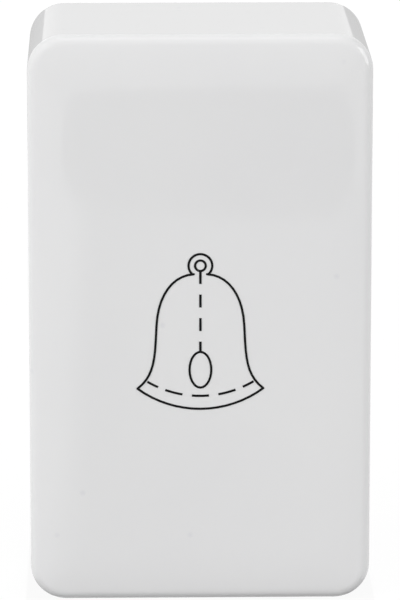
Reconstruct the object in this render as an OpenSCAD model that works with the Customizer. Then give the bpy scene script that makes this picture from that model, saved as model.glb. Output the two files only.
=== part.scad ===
// Wired doorbell push: a full-face key on a wall tray, with its contacts inside.
// Drawn lying down: x to the right, y up the wall, z out of the wall. on_wall() stands it up.
// All sizes are in millimetres and degrees.

/* [Body] */
// Width of the front
body_w = 40; // [38:0.5:46]
// Height of the front
body_h = 67.5; // [66.5:0.5:76]
// Depth from the wall to the front face
body_d = 25; // [24.5:0.5:30]
// Radius of the four corners, seen from the front
corner_r = 4.2; // [3.6:0.1:6]
// Rounding of the front edge
edge_r = 1.2; // [0.6:0.1:1.4]

/* [Key cap] */
// Thickness of the side walls
cap_wall = 1.8; // [1.5:0.1:2]
// Thickness of the front wall
cap_face = 2; // [1.6:0.1:2.2]
// Gap to the wall that stays at the top of the rim
rim_gap = 0.4; // [0.3:0.1:0.8]
// Thickness of the posts that clip into the carrier
post_d = 3.2; // [2.8:0.1:3.6]
// Distance of the posts from the middle, up and down
post_up = 10; // [9:0.5:11]

/* [Bell symbol] */
// Half the width of the bell at its lip
bell_half_w = 7.35; // [6:0.05:9]
// Height of the lip from the middle of the front
bell_lip_y = -7.95; // [-9:0.05:-5]
// Thickness of the printed line, across
line_w = 0.27; // [0.2:0.01:0.5]
// Thickness of the ink film
ink_t = 0.05; // [0.03:0.01:0.1]

/* [Tray] */
// Gap between the tray and the cap all round
tray_gap = 0.8; // [0.7:0.05:1]
// Thickness of the floor
floor_t = 3; // [2.8:0.1:3.4]
// Thickness of the side walls
tray_wall = 1.6; // [1.4:0.1:1.8]
// Height of the low rim over the wall of the house
tray_rim = 4.5; // [4:0.1:5.5]
// Depth of the pocket for the rivet heads in the back
pocket_d = 1.4; // [1.2:0.1:1.5]
// Thickness of the insulating sheet in that pocket
sheet_t = 0.4; // [0.3:0.05:0.5]

/* [Wall fixing] */
// Distance of the screw holes from the two inner ends of the tray
screw_in = 4.55; // [4.3:0.05:4.8]
// Width of the screw holes
screw_hole_d = 4.2; // [3.6:0.1:4.6]
// Width of the countersink for the screw heads
screw_head_d = 7.6; // [7:0.1:8]

/* [Cable entry] */
// Height of the cable entry over the middle
cable_up = 14.2; // [14:0.1:14.4]
// Clear width of the grommet
cable_bore_d = 6; // [5:0.1:6.4]
// Width of the hole in the tray that the grommet sits in
cable_hole_d = 8; // [7.8:0.1:8.4]
// Width of the two grommet flanges
flange_d = 10.5; // [10:0.1:10.8]
// Thickness of the grommet flange in front of the floor
flange_t = 1.2; // [1:0.1:1.4]
// Thickness of the grommet flange behind the floor
flange_back_t = 1; // [0.8:0.1:1.1]

/* [Key hinge] */
// Distance of the hinge below the top of the front
hinge_drop = 8.75; // [8.25:0.05:9.25]
// Distance of the hinge from the wall
hinge_out = 11; // [10.8:0.1:11.5]
// Thickness of the hinge pins
pin_d = 2; // [1.8:0.1:2.4]
// Running clearance around the pins
pin_clear = 0.05; // [0.03:0.01:0.08]
// Swing of the key from rest to the stop
press_deg = 2.2; // [1.8:0.1:2.4]
// Thickness of the tray ears that hold the pins
ear_t = 3; // [2.6:0.1:3.2]

/* [Carrier] */
// Width of the two side arms
arm_w = 3.9; // [3.6:0.1:4.2]
// Thickness of the frame
arm_t = 3; // [2.6:0.1:3.2]
// Space between the frame and the hinge axis
arm_over = 3; // [2.8:0.1:3.2]
// Side gap between the carrier and the tray
side_gap = 0.3; // [0.25:0.05:0.4]

/* [Contacts] */
// Height of the contact point over the middle
contact_y = -13; // [-13.5:0.1:-12.5]
// Width of the two contact buttons
contact_d = 3.6; // [3.2:0.1:4]
// Thickness of the two contact buttons
contact_t = 0.8; // [0.7:0.05:1]
// Thickness of the brass strip
strip_t = 0.8; // [0.6:0.1:0.9]
// Thickness of the spring leaf
leaf_t = 0.3; // [0.25:0.05:0.4]
// Distance of the terminals from the middle, sideways
terminal_x = 6.5; // [6.3:0.1:6.6]
// Height of the terminals over the middle
terminal_y = 3.5; // [3.3:0.1:3.6]
// Thickness of the terminal screws
terminal_d = 3; // [2.6:0.1:3]

/* [Springs and stops] */
// Outer width of the return springs
spring_d = 4.6; // [4.2:0.1:5]
// Thickness of the spring wire
wire_d = 0.5; // [0.4:0.05:0.6]
// Number of curls of a spring
spring_turns = 7; // [6:1:7]
// Distance of the springs from the low inner end of the tray
spring_up = 9.55; // [9.15:0.05:9.95]
// Width of the rubber stop pads
pad_d = 4.4; // [4:0.1:4.4]
// Thickness of the rubber stop pads
pad_t = 2; // [1.6:0.1:2.4]

/* [Hidden] */
$fn = 64;
over = 1;
touch_gap = 0.05;
stop_gap = 0.1;
half_w = body_w / 2;
half_h = body_h / 2;

// Cap and rim
hole_w = body_w - 2 * cap_wall;
hole_h = body_h - 2 * cap_wall;
hole_r = corner_r - cap_wall;
face_in = body_d - cap_face;
hinge_y = half_h - hinge_drop;
rim_gap_low = rim_gap + (hinge_y + half_h) * sin(press_deg);

// Tray
tray_w = hole_w - 2 * tray_gap;
tray_h = hole_h - 2 * tray_gap;
tray_r = max(hole_r - tray_gap, 0.4);
tray_in_w = tray_w - 2 * tray_wall;
tray_in_h = tray_h - 2 * tray_wall;
tray_in_r = max(tray_r - tray_wall, 0.4);
screw_y = tray_in_h / 2 - screw_in;
boss_h = 0.6;
boss_edge = 0.8;
boss_r = screw_head_d / 2 + boss_edge;
sink_t = 2;
flange_room = 0.3;
recess_room = 0.5;
pin_seat = 0.02;
pin_cover = 0.45;
pin_short = 0.5;

// Carrier
arm_out = tray_w / 2 - ear_t - side_gap;
arm_in = arm_out - arm_w;
arm_x = (arm_in + arm_out) / 2;
arm_z = hinge_out + arm_over;
arm_top = arm_z + arm_t;
lug_room = 0.2;
lug_r = arm_over - lug_room;
arm_end_gap = 0.8;
arm_low = -tray_in_h / 2 + arm_end_gap;
bar_drop = 5.5;
bar_w = 4.5;
top_bar = [hinge_y - bar_drop - bar_w, hinge_y - bar_drop];
low_bar_half = 3;
low_bar = [contact_y - low_bar_half, contact_y + low_bar_half];
socket_wall = 1.4;
socket_r = post_d / 2 + socket_wall;
socket_h = 3.5;
seat_edge = 0.95;
seat_r = spring_d / 2 + seat_edge;

// Clip posts of the cap
clip_tip = 1.4;
clip_bead = 0.25;
clip_shoulder = 0.9;
clip_slit = 0.8;

// Contacts, from the floor up
strip_lift = 2.6;
strip_z = floor_t + strip_lift;
strip_top = strip_z + strip_t;
contact_gap = (hinge_y - contact_y + contact_d / 2) * sin(press_deg) + touch_gap;
moving_z = strip_top + contact_t + contact_gap;
leaf_z = moving_z + contact_t;
leaf_top = leaf_z + leaf_t;
leaf_half = 2.4;
strip_half = 3.3;
strip_out = terminal_x + strip_half;
strip_in = terminal_x - strip_half;
strip_up = 3.5;
strip_leg = 4.4;
foot_half = 2.3;
tab_half = 3.2;
tab_seat_up = 3.6;
rivet_d = 2;
rivet_head_d = 3.6;
rivet_head_t = 0.5;
rivet_set = 0.2;
rivet_up = 1;
strip_rivet_down = 9.5;
leaf_rivet = [0, terminal_y + rivet_up];
strip_rivet = [-strip_out + strip_leg / 2, terminal_y - strip_rivet_down];
island_d = 5;
button_edge = 0.2;

// Terminals
nut_edge = 2.5;
nut_w = terminal_d + nut_edge;
nut_t = 2.4;
nut_room = 0.1;
tip_room = 0.2;
tip_end_room = 0.3;
nut_fit = 0.02;
washer_fit = 0.15;
strip_hole_room = 0.3;
washer_w = 6;
washer_t = 0.8;
head_edge = 2.6;
head_d = terminal_d + head_edge;
head_t = 1.8;
head_round_t = 0.4;
head_round_w = 0.5;
slot_w = 0.8;
slot_d = 0.9;
tip_out = 0.5;

// Springs and stops
spring_len = arm_z - floor_t;
spring_y = -tray_in_h / 2 + spring_up;
spring_r = (spring_d - wire_d) / 2;
spring_post_room = 0.6;
spring_post_r = spring_r - wire_d / 2 - spring_post_room;
low_post_part = 0.3;
high_post_part = 0.22;
pad_past = 0.3;
pad_y = arm_low + pad_d / 2 - pad_past;
pad_x = arm_out - pad_d / 2;
pad_top = pressed_z(pad_y - pad_d / 2, arm_z) - stop_gap;
hook_l = 3.5;
hook_lip_t = 1.3;
hook_nose_t = 0.4;
hook_reach = 1.5;
hook_low = arm_low;
hook_high = arm_low + hook_l;

// Height over the wall that a point of the key has when the key is fully pressed
function pressed_z(y, z) =
    hinge_out + (y - hinge_y) * sin(press_deg) + (z - hinge_out) * cos(press_deg);

// Stands the drawing up on the wall, with the front towards minus y
module on_wall() rotate([90, 0, 0]) children();

// Flat shapes shared by several pieces
module rounded_rect(w, h, r) {
    square([w - 2 * r, h], center = true);
    square([w, h - 2 * r], center = true);
    for (sx = [-1, 1], sy = [-1, 1])
        translate([sx * (w / 2 - r), sy * (h / 2 - r)]) circle(r);
}

// A square-cornered patch given by its left, right, low and high sides
module patch(left, right, low, high)
    translate([left, low]) square([right - left, high - low]);

// A block over a patch, from one height to another
module block(left, right, low, high, from, to)
    translate([left, low, from]) cube([right - left, high - low, to - from]);

// A round pin from one height to another
module pin(x, y, r, from, to)
    translate([x, y, from]) cylinder(r = r, h = to - from);

// A round rod along x, from one side to another
module rod(from, to, y, z, r)
    translate([from, y, z]) rotate([0, 90, 0]) cylinder(r = r, h = to - from);

// Key cap: front edge rounding as straight rounds and corner rounds
module cap_outside() {
    inset = corner_r - edge_r;
    shoulder = body_d - edge_r;
    linear_extrude(shoulder) rounded_rect(body_w, body_h, corner_r);
    translate([0, 0, shoulder]) {
        linear_extrude(edge_r) rounded_rect(body_w - 2 * edge_r, body_h - 2 * edge_r, inset);
        for (s = [-1, 1]) {
            translate([s * (half_w - edge_r), 0, 0]) rotate([90, 0, 0])
                cylinder(r = edge_r, h = body_h - 2 * corner_r, center = true);
            translate([0, s * (half_h - edge_r), 0]) rotate([0, 90, 0])
                cylinder(r = edge_r, h = body_w - 2 * corner_r, center = true);
        }
        for (sx = [-1, 1], sy = [-1, 1])
            translate([sx * (half_w - corner_r), sy * (half_h - corner_r), 0])
                rotate_extrude() translate([inset, 0]) circle(edge_r);
    }
}

// The slanted cut that leaves room for the swing between the rim and the wall
module rim_cut() {
    side = half_h + over;
    slope = (rim_gap_low - rim_gap) / body_h;
    rotate([90, 0, 90]) linear_extrude(body_w + 2 * over, center = true) polygon([
        [-side, -over],
        [side, -over],
        [side, rim_gap - slope * over],
        [-side, rim_gap_low + slope * over]
    ]);
}

// One clip post: shoulder, split pin and a bead that snaps under the carrier
module clip_post() {
    tip = arm_z - clip_tip;
    bead = arm_z - touch_gap;
    difference() {
        union() {
            pin(0, 0, post_d / 2 + clip_shoulder, arm_top + socket_h, face_in + cap_face / 2);
            pin(0, 0, post_d / 2, tip, arm_top + socket_h + over);
            translate([0, 0, tip])
                cylinder(r1 = post_d / 2, r2 = post_d / 2 + clip_bead, h = bead - tip);
        }
        block(-clip_slit / 2, clip_slit / 2, -post_d, post_d, tip - over, arm_top + socket_h - over);
    }
}

module key_cap() color("white") on_wall() {
    difference() {
        cap_outside();
        translate([0, 0, -over]) linear_extrude(face_in + over) rounded_rect(hole_w, hole_h, hole_r);
        rim_cut();
    }
    for (sx = [-1, 1], sy = [-1, 1]) translate([sx * arm_x, sy * post_up, 0]) clip_post();
}

// Bell symbol: lines drawn along curves
function bezier(p, t) =
    pow(1 - t, 3) * p[0] + 3 * t * pow(1 - t, 2) * p[1] + 3 * t * t * (1 - t) * p[2] + pow(t, 3) * p[3];
function curve(p, steps) = [for (i = [0:steps]) bezier(p, i / steps)];
function arc(center, r, from, to, steps) =
    [for (i = [0:steps]) let (a = from + (to - from) * i / steps) center + r * [cos(a), sin(a)]];
function along(p, i) =
    let (d = p[min(i + 1, len(p) - 1)] - p[max(i - 1, 0)]) d / norm(d);
function beside(p, w) =
    [for (i = [0:len(p) - 1]) let (d = along(p, i)) p[i] + w * [-d[1], d[0]]];
function backward(p) = [for (i = [len(p) - 1:-1:0]) p[i]];

module line(p)
    polygon(concat(beside(p, line_w / 2), backward(beside(p, -line_w / 2))));

module ring(y, r)
    translate([0, y]) difference() {
        circle(r + line_w / 2);
        circle(r - line_w / 2);
    }

// Radius of the arc with a given half chord and rise
function arc_radius(half, rise) = (half * half + rise * rise) / (2 * rise);

bell_k = bell_half_w / 7.35;
loop_y = 14.68 * bell_k;
loop_r = 1.38 * bell_k;
shoulder_x = 0.78 * bell_k;
shoulder_y = 13.67 * bell_k;
waist = [5.12, 7.5] * bell_k;
lip_drop = 2.45 * bell_k;
rim_half = 6.27 * bell_k;
rim_y = 0.88 * bell_k;
rim_drop = 1.77 * bell_k;
clapper_y = 2.25 * bell_k;
clapper_size = [1.27, 2.14] * bell_k;
rod_part = 0.54;
neck_angle = atan2(shoulder_y - loop_y, shoulder_x);
side_curve = concat(
    curve([[shoulder_x, shoulder_y], [3.2, 13.55] * bell_k, [4.95, 11.2] * bell_k, waist], 10),
    curve([waist, [5.3, 3.6] * bell_k, [5.35, 1.6] * bell_k, [bell_half_w, 0]], 10)
);
bell_side = [for (i = [0:len(side_curve) - 1]) if (i != 11) side_curve[i]];

// A part of an arc that bulges down, from one sideways place to another
module bow(half, rise, y, from, to) {
    r = arc_radius(half, rise);
    line(arc([0, y - rise + r], r, 270 + asin(from / r), 270 + asin(to / r), 8));
}

module bell_outline() {
    for (s = [0, 1]) mirror([s, 0]) {
        line(bell_side);
        translate([shoulder_x, shoulder_y]) circle(d = line_w);
        translate([bell_half_w, 0]) circle(d = line_w);
    }
    line(arc([0, loop_y], loop_r, neck_angle, 180 - neck_angle, 24));
    bow(bell_half_w, lip_drop, 0, -bell_half_w, 0);
    bow(bell_half_w, lip_drop, 0, 0, bell_half_w);
}

module bell_dashes() {
    rod_top = loop_y - 0.62 * bell_k;
    rod_low = clapper_y + clapper_size[1];
    pitch = (rod_top - rod_low) / 3.44;
    for (i = [0:3]) patch(-line_w * rod_part, line_w * rod_part,
        max(rod_low, rod_top - i * pitch - 0.55 * pitch), rod_top - i * pitch);
    for (mid = [-0.89, -0.495, 0, 0.495, 0.89]) {
        half = (abs(mid) > 0.8 ? 0.1 : 0.16) * rim_half;
        bow(rim_half, rim_drop, rim_y, mid * rim_half - half, mid * rim_half + half);
    }
}

module clapper() {
    steps = 28;
    difference() {
        polygon([for (i = [0:steps - 1]) let (a = 360 * i / steps)
            [(clapper_size[0] + line_w / 2) * cos(a), (clapper_size[1] + line_w / 2) * sin(a)]]);
        polygon([for (i = [0:steps - 1]) let (a = 360 * i / steps)
            [(clapper_size[0] - line_w / 2) * cos(a), (clapper_size[1] - line_w / 2) * sin(a)]]);
    }
}

module bell_symbol() color("black") on_wall() translate([0, bell_lip_y, body_d]) {
    linear_extrude(ink_t) bell_outline();
    linear_extrude(ink_t) ring(loop_y, 0.62 * bell_k);
    linear_extrude(ink_t) bell_dashes();
    linear_extrude(ink_t) translate([0, clapper_y]) clapper();
}

// Tray
module tray_shell() difference() {
    linear_extrude(tray_rim) rounded_rect(tray_w, tray_h, tray_r);
    translate([0, 0, floor_t]) linear_extrude(tray_rim) rounded_rect(tray_in_w, tray_in_h, tray_in_r);
}

module hinge_ear(side) {
    in = side * (tray_w / 2 - ear_t);
    out = side * tray_w / 2;
    block(min(in, out), max(in, out), hinge_y - lug_r, hinge_y + lug_r, floor_t - over / 2, hinge_out);
    rod(min(in, out), max(in, out), hinge_y, hinge_out, lug_r);
}

// A hook that keeps the sprung carrier from coming further out than its rest
module key_hook(side) mirror([side < 0 ? 1 : 0, 0, 0]) {
    in = arm_out + side_gap;
    lip = arm_top + touch_gap;
    block(in, tray_in_w / 2 + tray_wall / 4, hook_low, hook_high, floor_t - over / 2, lip + hook_lip_t);
    translate([0, hook_high, 0]) rotate([90, 0, 0]) linear_extrude(hook_high - hook_low) polygon([
        [in + hook_nose_t, lip],
        [in - hook_reach, lip],
        [in - hook_reach, lip + hook_nose_t],
        [in + hook_nose_t, lip + hook_lip_t]
    ]);
}

module strip_seats() {
    low = floor_t - over / 2;
    block(-strip_out, -strip_in, terminal_y - tab_seat_up, terminal_y + tab_seat_up, low, strip_z);
    block(-leaf_half, leaf_half, contact_y - foot_half, contact_y + foot_half, low, strip_z);
    pin(strip_rivet[0], strip_rivet[1], strip_leg / 2, low, strip_z);
}

module leaf_seat() {
    low = floor_t - over / 2;
    block(-leaf_half, strip_out, terminal_y - tab_half, terminal_y + tab_seat_up, low, leaf_z);
}

// Room for a captive square nut below a seat, and for the tip of its screw
module nut_pocket(x, seat) {
    half = nut_w / 2 + nut_room;
    block(x - half, x + half, terminal_y - half, terminal_y + half, seat - nut_t, seat + over);
    pin(x, terminal_y, terminal_d / 2 + tip_room, seat - nut_t - tip_out - tip_end_room, seat);
}

module wall_screw_hole(y) {
    head = floor_t + boss_h;
    pin(0, y, screw_hole_d / 2, -over, head + over);
    translate([0, y, head - sink_t]) cylinder(d1 = screw_hole_d, d2 = screw_head_d, h = sink_t);
    pin(0, y, screw_head_d / 2, head, head + over);
}

// Pocket in the back for the rivet heads, with a ledge for the sheet and a pillar in the middle
sheet_side = 1.1;
sheet_below = 4.2;
sheet_ledge = 1;
sheet_corner = 1.2;
sheet_room = 0.15;
island_room = 0.3;
sheet_w = 2 * (strip_out + sheet_side);
sheet_low = contact_y - sheet_below;
sheet_high = leaf_rivet[1] + rivet_head_d / 2 + rivet_set + sheet_ledge;
sheet_z = pocket_d - rivet_head_t;

module sheet_outline(inset)
    translate([0, (sheet_low + sheet_high) / 2])
        rounded_rect(sheet_w - 2 * inset, sheet_high - sheet_low - 2 * inset, sheet_corner);

module back_pocket() difference() {
    union() {
        translate([0, 0, -over]) linear_extrude(over + sheet_z) sheet_outline(0);
        translate([0, 0, -over]) linear_extrude(over + pocket_d) sheet_outline(sheet_ledge);
    }
    pin(0, 0, island_d / 2, -2 * over, pocket_d + over);
}

module base_plate() color("gainsboro") on_wall() difference() {
    union() {
        tray_shell();
        for (s = [-1, 1]) {
            hinge_ear(s);
            key_hook(s);
            pin(0, s * screw_y, boss_r, floor_t - over / 2, floor_t + boss_h);
            pin(s * arm_x, spring_y, spring_post_r, floor_t - over / 2,
                floor_t + spring_len * low_post_part);
            pin(s * pad_x, pad_y, pad_d / 2, floor_t - over / 2, pad_top - pad_t);
        }
        strip_seats();
        leaf_seat();
    }
    back_pocket();
    for (s = [-1, 1]) {
        wall_screw_hole(s * screw_y);
        in = s * (tray_w / 2 - ear_t - over);
        out = s * (tray_w / 2 - pin_cover);
        rod(min(in, out), max(in, out), hinge_y, hinge_out, pin_d / 2 + pin_seat);
    }
    nut_pocket(-terminal_x, strip_z);
    nut_pocket(terminal_x, leaf_z);
    pin(leaf_rivet[0], leaf_rivet[1], rivet_d / 2 + touch_gap, -over, leaf_z + over);
    pin(strip_rivet[0], strip_rivet[1], rivet_d / 2 + touch_gap, -over, strip_z + over);
    pin(0, cable_up, cable_hole_d / 2, -over, floor_t + over);
    pin(0, cable_up, flange_d / 2 + recess_room, -over, pocket_d);
    pin(0, cable_up, flange_d / 2 + flange_room, floor_t, floor_t + boss_h + over);
}

module back_insulator() color("peru") on_wall() translate([0, 0, sheet_z - sheet_t])
    linear_extrude(sheet_t) difference() {
        sheet_outline(sheet_room);
        circle(d = island_d + 2 * island_room);
    }

module cable_grommet() color("dimgray") on_wall() translate([0, cable_up, 0]) difference() {
    union() {
        pin(0, 0, flange_d / 2, pocket_d - flange_back_t, pocket_d);
        pin(0, 0, cable_hole_d / 2 - touch_gap, pocket_d - flange_back_t / 2, floor_t + flange_t / 2);
        pin(0, 0, flange_d / 2, floor_t, floor_t + flange_t);
    }
    pin(0, 0, cable_bore_d / 2, -over, floor_t + flange_t + over);
}

// Hinge pins: seated in the tray ears, running in the carrier lugs
module hinge_pin(side) {
    in = side * arm_in;
    out = side * (tray_w / 2 - pin_short);
    rod(min(in, out), max(in, out), hinge_y, hinge_out, pin_d / 2);
}

module hinge_pin_left() color("silver") on_wall() hinge_pin(-1);

module hinge_pin_right() color("silver") on_wall() hinge_pin(1);

// Contacts
module fixed_contact_strip() color("goldenrod") on_wall() translate([0, 0, strip_z])
    linear_extrude(strip_t) difference() {
        union() {
            patch(-strip_out, -strip_in, terminal_y - strip_up, terminal_y + strip_up);
            patch(-strip_out, -strip_out + strip_leg, contact_y - foot_half, terminal_y);
            patch(-strip_out, leaf_half, contact_y - foot_half, contact_y + foot_half);
        }
        translate([-terminal_x, terminal_y]) circle(d = terminal_d + strip_hole_room);
        translate(strip_rivet) circle(d = rivet_d + 2 * touch_gap);
    }

// A contact button with a small chamfer on its working side
module contact_button() rotate_extrude() polygon([
    [0, 0],
    [contact_d / 2, 0],
    [contact_d / 2, contact_t - button_edge],
    [contact_d / 2 - button_edge, contact_t],
    [0, contact_t]
]);

module fixed_contact() color("lightgray") on_wall() translate([0, contact_y, strip_top]) contact_button();

module moving_contact() color("lightgray") on_wall() translate([0, contact_y, leaf_z])
    mirror([0, 0, 1]) contact_button();

module contact_leaf() color("chocolate") on_wall() translate([0, 0, leaf_z])
    linear_extrude(leaf_t) difference() {
        union() {
            patch(-leaf_half, strip_out, terminal_y - tab_half, terminal_y + tab_half);
            patch(-leaf_half, leaf_half, contact_y - foot_half, terminal_y);
        }
        translate([terminal_x, terminal_y]) circle(d = terminal_d + strip_hole_room);
        translate(leaf_rivet) circle(d = rivet_d + 2 * touch_gap);
    }

module rivet(place, top) translate(place) {
    pin(0, 0, rivet_head_d / 2, sheet_z, pocket_d);
    pin(0, 0, rivet_d / 2, sheet_z, top + rivet_head_t);
    pin(0, 0, rivet_head_d / 2 - rivet_set, top, top + rivet_head_t);
}

module contact_rivets() color("darkgoldenrod") on_wall() {
    rivet(leaf_rivet, leaf_top);
    rivet(strip_rivet, strip_top);
}

// Terminals: a nut below, a square washer and a slotted screw on top
module terminal_nut(x, seat) translate([x, terminal_y, seat - nut_t]) difference() {
    translate([-nut_w / 2, -nut_w / 2, 0]) cube([nut_w, nut_w, nut_t]);
    pin(0, 0, terminal_d / 2 + nut_fit, -over, nut_t + over);
}

module clamp_washer(x, under) translate([x, terminal_y, under]) difference() {
    translate([-washer_w / 2, -washer_w / 2, 0]) cube([washer_w, washer_w, washer_t]);
    pin(0, 0, terminal_d / 2 + washer_fit, -over, washer_t + over);
}

module terminal_screw(x, seat, under) translate([x, terminal_y, 0]) difference() {
    union() {
        pin(0, 0, terminal_d / 2, seat - nut_t - tip_out, under + head_t / 2);
        pin(0, 0, head_d / 2, under, under + head_t - head_round_t);
        translate([0, 0, under + head_t - head_round_t])
            cylinder(r1 = head_d / 2, r2 = head_d / 2 - head_round_w, h = head_round_t);
    }
    block(-head_d, head_d, -slot_w / 2, slot_w / 2, under + head_t - slot_d, under + head_t + over);
}

module terminal_nuts() color("silver") on_wall() {
    terminal_nut(-terminal_x, strip_z);
    terminal_nut(terminal_x, leaf_z);
}

module clamp_washers() color("gold") on_wall() {
    clamp_washer(-terminal_x, strip_top);
    clamp_washer(terminal_x, leaf_top);
}

module terminal_screws() color("silver") on_wall() {
    terminal_screw(-terminal_x, strip_z, strip_top + washer_t);
    terminal_screw(terminal_x, leaf_z, leaf_top + washer_t);
}

// Return springs: one unbroken tube of rings along a helix
spring_sides = 6;
spring_rings = 8 * spring_turns;
function helix(i) = let (
    a = 360 * i / 8,
    z = wire_d / 2 + touch_gap + (spring_len - wire_d - 2 * touch_gap) * i / spring_rings
) [spring_r * cos(a), spring_r * sin(a), z];
helix_points = [for (i = [0:spring_rings]) helix(i)];
helix_gap = min([for (i = [0:spring_rings - 6], j = [i + 6:spring_rings])
    norm(helix_points[i] - helix_points[j])]) - wire_d;
echo(least_gap_between_spring_curls = helix_gap);

module coil() {
    points = [for (i = [0:spring_rings], k = [0:spring_sides - 1]) let (
        a = 360 * i / 8,
        b = 360 * k / spring_sides,
        out = wire_d / 2 * cos(b)
    ) helix_points[i] + [out * cos(a), out * sin(a), wire_d / 2 * sin(b)]];
    function at(i, k) = i * spring_sides + k % spring_sides;
    sides = [for (i = [0:spring_rings - 1], k = [0:spring_sides - 1], t = [0, 1])
        t == 0 ? [at(i, k), at(i, k + 1), at(i + 1, k)] : [at(i, k + 1), at(i + 1, k + 1), at(i + 1, k)]];
    ends = [for (k = [1:spring_sides - 2], t = [0, 1])
        t == 0 ? [at(0, 0), at(0, k + 1), at(0, k)]
               : [at(spring_rings, 0), at(spring_rings, k), at(spring_rings, k + 1)]];
    polyhedron(points, concat(sides, ends), convexity = 10);
}

module return_spring(side) on_wall() translate([side * arm_x, spring_y, floor_t]) coil();

module return_spring_left() color("silver") return_spring(-1);

module return_spring_right() color("silver") return_spring(1);

// Stop pads on the tray posts
module stop_pad(side) on_wall() pin(side * pad_x, pad_y, pad_d / 2, pad_top - pad_t, pad_top);

module stop_pad_left() color("dimgray") stop_pad(-1);

module stop_pad_right() color("dimgray") stop_pad(1);

// Carrier: two arms and two bars, with lugs on the hinge pins and sockets for the cap
module carrier_frame() linear_extrude(arm_t) {
    for (s = [-1, 1]) {
        patch(min(s * arm_in, s * arm_out), max(s * arm_in, s * arm_out), arm_low, hinge_y + lug_r);
        translate([s * arm_x, spring_y]) circle(seat_r);
    }
    patch(-arm_x, arm_x, top_bar[0], top_bar[1]);
    patch(-arm_x, arm_x, low_bar[0], low_bar[1]);
}

module rocker_carrier() color("ivory") on_wall() difference() {
    union() {
        translate([0, 0, arm_z]) carrier_frame();
        for (s = [-1, 1]) {
            left = min(s * arm_in, s * arm_out);
            right = max(s * arm_in, s * arm_out);
            block(left, right, hinge_y - lug_r, hinge_y + lug_r, hinge_out, arm_z + over);
            rod(left, right, hinge_y, hinge_out, lug_r);
            pin(s * arm_x, spring_y, spring_post_r, arm_z - spring_len * high_post_part, arm_z + over);
            for (t = [-1, 1]) pin(s * arm_x, t * post_up, socket_r, arm_z, arm_top + socket_h);
        }
    }
    for (s = [-1, 1]) {
        rod(s * arm_x - arm_w, s * arm_x + arm_w, hinge_y, hinge_out, pin_d / 2 + pin_clear);
        for (t = [-1, 1])
            pin(s * arm_x, t * post_up, post_d / 2 + touch_gap, arm_z - over, arm_top + socket_h + over);
    }
    pin(0, contact_y, plunger_stem_r + touch_gap, arm_z - over, arm_top + over);
}

// Plunger: a stem in the low bar and a rounded nose that rests on the leaf
plunger_stem_r = 1.5;
plunger_r = 2;

module plunger() color("whitesmoke") on_wall() translate([0, contact_y, 0]) {
    tip = leaf_top + touch_gap;
    pin(0, 0, plunger_stem_r, arm_z - over, arm_top);
    pin(0, 0, plunger_r, tip + plunger_r, arm_z);
    translate([0, 0, tip + plunger_r]) sphere(plunger_r);
}

base_plate();
back_insulator();
cable_grommet();
hinge_pin_left();
hinge_pin_right();
fixed_contact_strip();
fixed_contact();
contact_leaf();
contact_rivets();
terminal_nuts();
clamp_washers();
terminal_screws();
return_spring_left();
return_spring_right();
stop_pad_left();
stop_pad_right();
rocker_carrier();
plunger();
moving_contact();
key_cap();
bell_symbol();
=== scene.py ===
import math

import bmesh
import bpy
from mathutils import Matrix, Vector


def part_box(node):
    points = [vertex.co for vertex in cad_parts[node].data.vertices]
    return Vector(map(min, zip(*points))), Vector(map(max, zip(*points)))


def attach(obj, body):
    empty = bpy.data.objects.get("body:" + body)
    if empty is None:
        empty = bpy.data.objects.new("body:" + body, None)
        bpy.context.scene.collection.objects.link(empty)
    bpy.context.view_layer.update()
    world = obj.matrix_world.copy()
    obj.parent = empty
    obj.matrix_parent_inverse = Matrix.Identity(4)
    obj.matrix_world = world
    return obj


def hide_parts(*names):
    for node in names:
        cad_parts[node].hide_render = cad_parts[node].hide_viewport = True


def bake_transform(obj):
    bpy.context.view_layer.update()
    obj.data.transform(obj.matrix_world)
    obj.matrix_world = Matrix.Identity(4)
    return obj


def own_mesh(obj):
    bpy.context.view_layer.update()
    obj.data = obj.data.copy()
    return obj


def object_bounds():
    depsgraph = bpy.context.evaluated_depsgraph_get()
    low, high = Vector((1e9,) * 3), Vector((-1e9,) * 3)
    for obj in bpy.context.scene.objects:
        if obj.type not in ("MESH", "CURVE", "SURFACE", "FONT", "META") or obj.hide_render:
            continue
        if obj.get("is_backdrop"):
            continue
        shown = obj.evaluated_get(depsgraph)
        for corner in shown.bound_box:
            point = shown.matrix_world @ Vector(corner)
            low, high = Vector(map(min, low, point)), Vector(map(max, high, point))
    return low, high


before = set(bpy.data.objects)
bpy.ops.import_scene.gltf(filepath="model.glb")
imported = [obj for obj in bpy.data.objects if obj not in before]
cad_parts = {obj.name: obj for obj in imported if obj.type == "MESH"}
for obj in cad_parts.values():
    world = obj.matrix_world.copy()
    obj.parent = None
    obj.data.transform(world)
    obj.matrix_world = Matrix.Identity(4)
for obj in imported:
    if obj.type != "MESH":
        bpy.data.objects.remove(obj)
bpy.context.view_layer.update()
scene = bpy.context.scene
mm = 0.001
touch = 0.001 * mm    # points this close count as one
print("frame loaded:", len(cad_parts), "nodes")


# small helpers shared by all pieces

def hexColour(text):
    # sRGB hex to a linear colour with alpha
    parts = [int(text[i:i + 2], 16) / 255 for i in (1, 3, 5)]
    return [p / 12.92 if p <= 0.04045 else ((p + 0.055) / 1.055) ** 2.4 for p in parts] + [1]


def setInputs(tree, node, inputs):
    for key, value in inputs.items():
        if isinstance(value, bpy.types.NodeSocket):
            tree.links.new(value, node.inputs[key])
        else:
            node.inputs[key].default_value = value


def addNode(tree, kind, inputs=None, **settings):
    node = tree.nodes.new(kind)
    for name, value in settings.items():
        setattr(node, name, value)
    setInputs(tree, node, inputs or {})
    return node


def addMath(tree, operation, first, second=0.0):
    return addNode(tree, "ShaderNodeMath", {0: first, 1: second}, operation=operation).outputs[0]


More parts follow.
